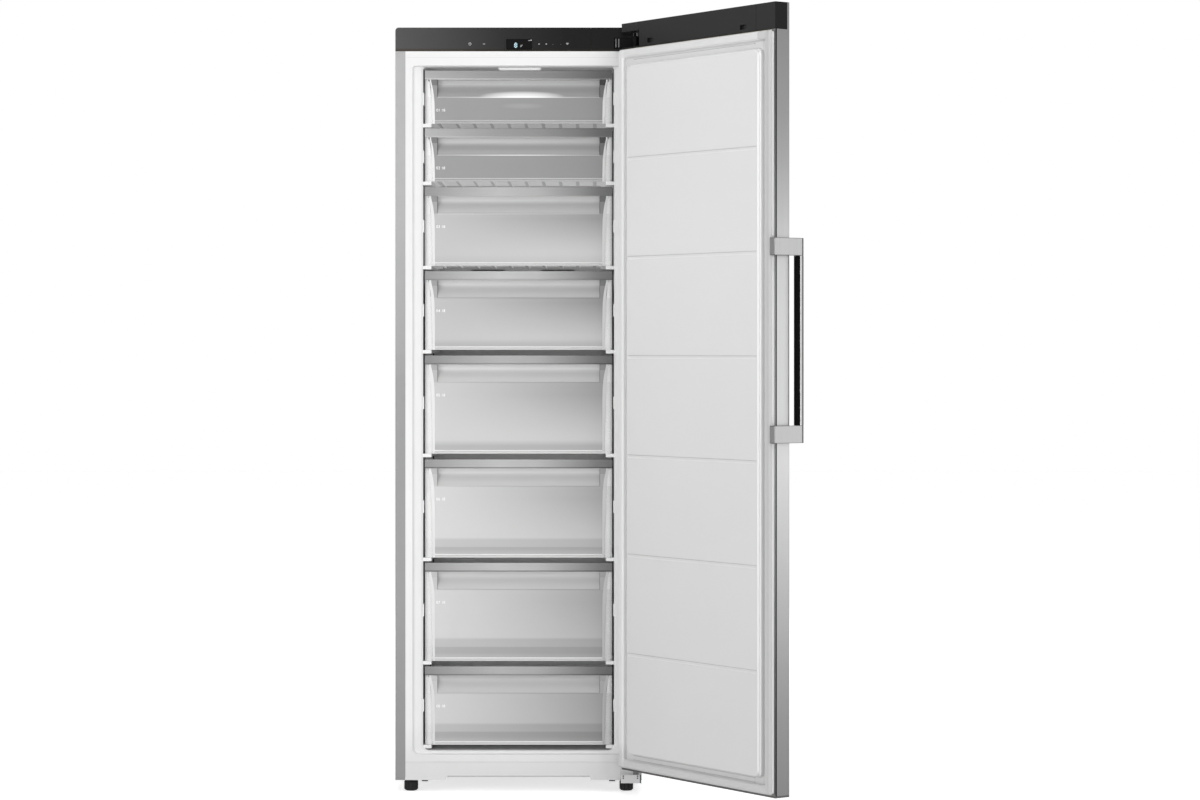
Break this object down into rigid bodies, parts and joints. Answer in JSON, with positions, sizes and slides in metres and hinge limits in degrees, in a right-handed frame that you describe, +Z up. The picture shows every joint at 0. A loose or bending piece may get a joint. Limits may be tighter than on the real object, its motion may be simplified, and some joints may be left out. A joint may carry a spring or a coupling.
{
  "type": "upright freezer",
  "caption": "Tall free-standing freezer with a hinged door, a side handle, and clear-fronted drawers that slide on moulded ledges.",
  "frame": {"origin": "bottom centre of the box round the whole part with its door open at rest, on the floor", "axes": "+X to the right seen from the front, +Y to the back, +Z up"},
  "size_m": [0.9526, 1.161, 1.85],
  "materials": {
    "casing_steel": "satin",
    "zinc_steel": "satin",
    "hinge_steel": "satin",
    "liner_white": "satin",
    "rail_white": "satin",
    "foam": "matte",
    "compressor_black": "satin",
    "tray_white": "satin",
    "copper": "satin",
    "gloss_black": "gloss",
    "display_glass": "gloss",
    "board_green": "satin",
    "lamp_clear": "satin",
    "cover_white": "satin",
    "fin_aluminium": "satin",
    "motor_black": "satin",
    "foot_black": "matte",
    "door_steel": "satin",
    "door_white": "satin",
    "cap_black": "satin",
    "gasket": "matte",
    "handle_metal": "satin",
    "insert_black": "satin",
    "tub_white": "satin",
    "smoky_clear": "gloss",
    "brushed_trim": "satin"
  },
  "bodies": {
    "cabinet": {"outer_casing": "casing_steel", "back_panel": "zinc_steel", "inner_liner": "liner_white", "foam_core": "foam", "bottom_rail": "rail_white", "base_plate": "zinc_steel", "chamber_bulkhead": "zinc_steel", "compressor_tray": "zinc_steel", "compressor": "compressor_black", "drip_tray": "tray_white", "discharge_pipe": "copper", "control_panel": "gloss_black", "display_window": "display_glass", "control_board": "board_green", "hinge_cover": "gloss_black", "top_hinge_bracket": "hinge_steel", "bottom_hinge_bracket": "hinge_steel", "lamp_lens": "lamp_clear", "evaporator_cover": "cover_white", "evaporator": "fin_aluminium", "fan_motor": "motor_black"},
    "door": {"door_skin": "door_steel", "door_liner": "door_white", "door_foam": "foam", "door_top_cap": "cap_black", "door_bottom_cap": "cap_black", "door_gasket": "gasket", "handle_block_upper": "handle_metal", "handle_block_lower": "handle_metal", "handle_bar": "handle_metal", "handle_insert": "insert_black"},
    "fan": {"fan_rotor": "motor_black"},
    "foot_left": {"front_foot_left": "foot_black"},
    "foot_right": {"front_foot_right": "foot_black"},
    "roller_left": {"rear_roller_left": "foot_black"},
    "roller_right": {"rear_roller_right": "foot_black"},
    "drawer_1": {"drawer_1_tub": "tub_white", "drawer_1_window": "smoky_clear", "drawer_1_trim": "brushed_trim"},
    "drawer_2": {"drawer_2_tub": "tub_white", "drawer_2_window": "smoky_clear", "drawer_2_trim": "brushed_trim"},
    "drawer_3": {"drawer_3_tub": "tub_white", "drawer_3_window": "smoky_clear", "drawer_3_trim": "brushed_trim"},
    "drawer_4": {"drawer_4_tub": "tub_white", "drawer_4_window": "smoky_clear", "drawer_4_trim": "brushed_trim"},
    "drawer_5": {"drawer_5_tub": "tub_white", "drawer_5_window": "smoky_clear", "drawer_5_trim": "brushed_trim"},
    "drawer_6": {"drawer_6_tub": "tub_white", "drawer_6_window": "smoky_clear", "drawer_6_trim": "brushed_trim"},
    "drawer_7": {"drawer_7_tub": "tub_white", "drawer_7_window": "smoky_clear", "drawer_7_trim": "brushed_trim"},
    "drawer_8": {"drawer_8_tub": "tub_white", "drawer_8_window": "smoky_clear", "drawer_8_trim": "brushed_trim"}
  },
  "joints": [
    {"name": "door_hinge", "type": "hinge", "parent": "cabinet", "child": "door", "pos_m": [0.10472, -0.06147, 0.9], "axis": [0, 0, 1], "range_deg": [-125, 0]},
    {"name": "drawer_1_slide", "type": "slide", "parent": "cabinet", "child": "drawer_1", "axis": [0, -1, 0], "range_m": [0, 0.3]},
    {"name": "drawer_2_slide", "type": "slide", "parent": "cabinet", "child": "drawer_2", "axis": [0, -1, 0], "range_m": [0, 0.3]},
    {"name": "drawer_3_slide", "type": "slide", "parent": "cabinet", "child": "drawer_3", "axis": [0, -1, 0], "range_m": [0, 0.3]},
    {"name": "drawer_4_slide", "type": "slide", "parent": "cabinet", "child": "drawer_4", "axis": [0, -1, 0], "range_m": [0, 0.3]},
    {"name": "drawer_5_slide", "type": "slide", "parent": "cabinet", "child": "drawer_5", "axis": [0, -1, 0], "range_m": [0, 0.3]},
    {"name": "drawer_6_slide", "type": "slide", "parent": "cabinet", "child": "drawer_6", "axis": [0, -1, 0], "range_m": [0, 0.3]},
    {"name": "drawer_7_slide", "type": "slide", "parent": "cabinet", "child": "drawer_7", "axis": [0, -1, 0], "range_m": [0, 0.3]},
    {"name": "drawer_8_slide", "type": "slide", "parent": "cabinet", "child": "drawer_8", "axis": [0, -1, 0], "range_m": [0, 0.2]},
    {"name": "fan_spin", "type": "hinge", "parent": "cabinet", "child": "fan", "pos_m": [-0.17878, 0.43553, 1.215], "axis": [0, 1, 0], "continuous": true},
    {"name": "foot_left_turn", "type": "hinge", "parent": "cabinet", "child": "foot_left", "pos_m": [-0.43978, 0.01753, 0.02], "axis": [0, 0, 1], "continuous": true},
    {"name": "foot_right_turn", "type": "hinge", "parent": "cabinet", "child": "foot_right", "pos_m": [0.08222, 0.01753, 0.02], "axis": [0, 0, 1], "continuous": true},
    {"name": "roller_left_roll", "type": "hinge", "parent": "cabinet", "child": "roller_left", "pos_m": [-0.42878, 0.54353, 0.018], "axis": [1, 0, 0], "continuous": true},
    {"name": "roller_right_roll", "type": "hinge", "parent": "cabinet", "child": "roller_right", "pos_m": [0.07122, 0.54353, 0.018], "axis": [1, 0, 0], "continuous": true}
  ]
}
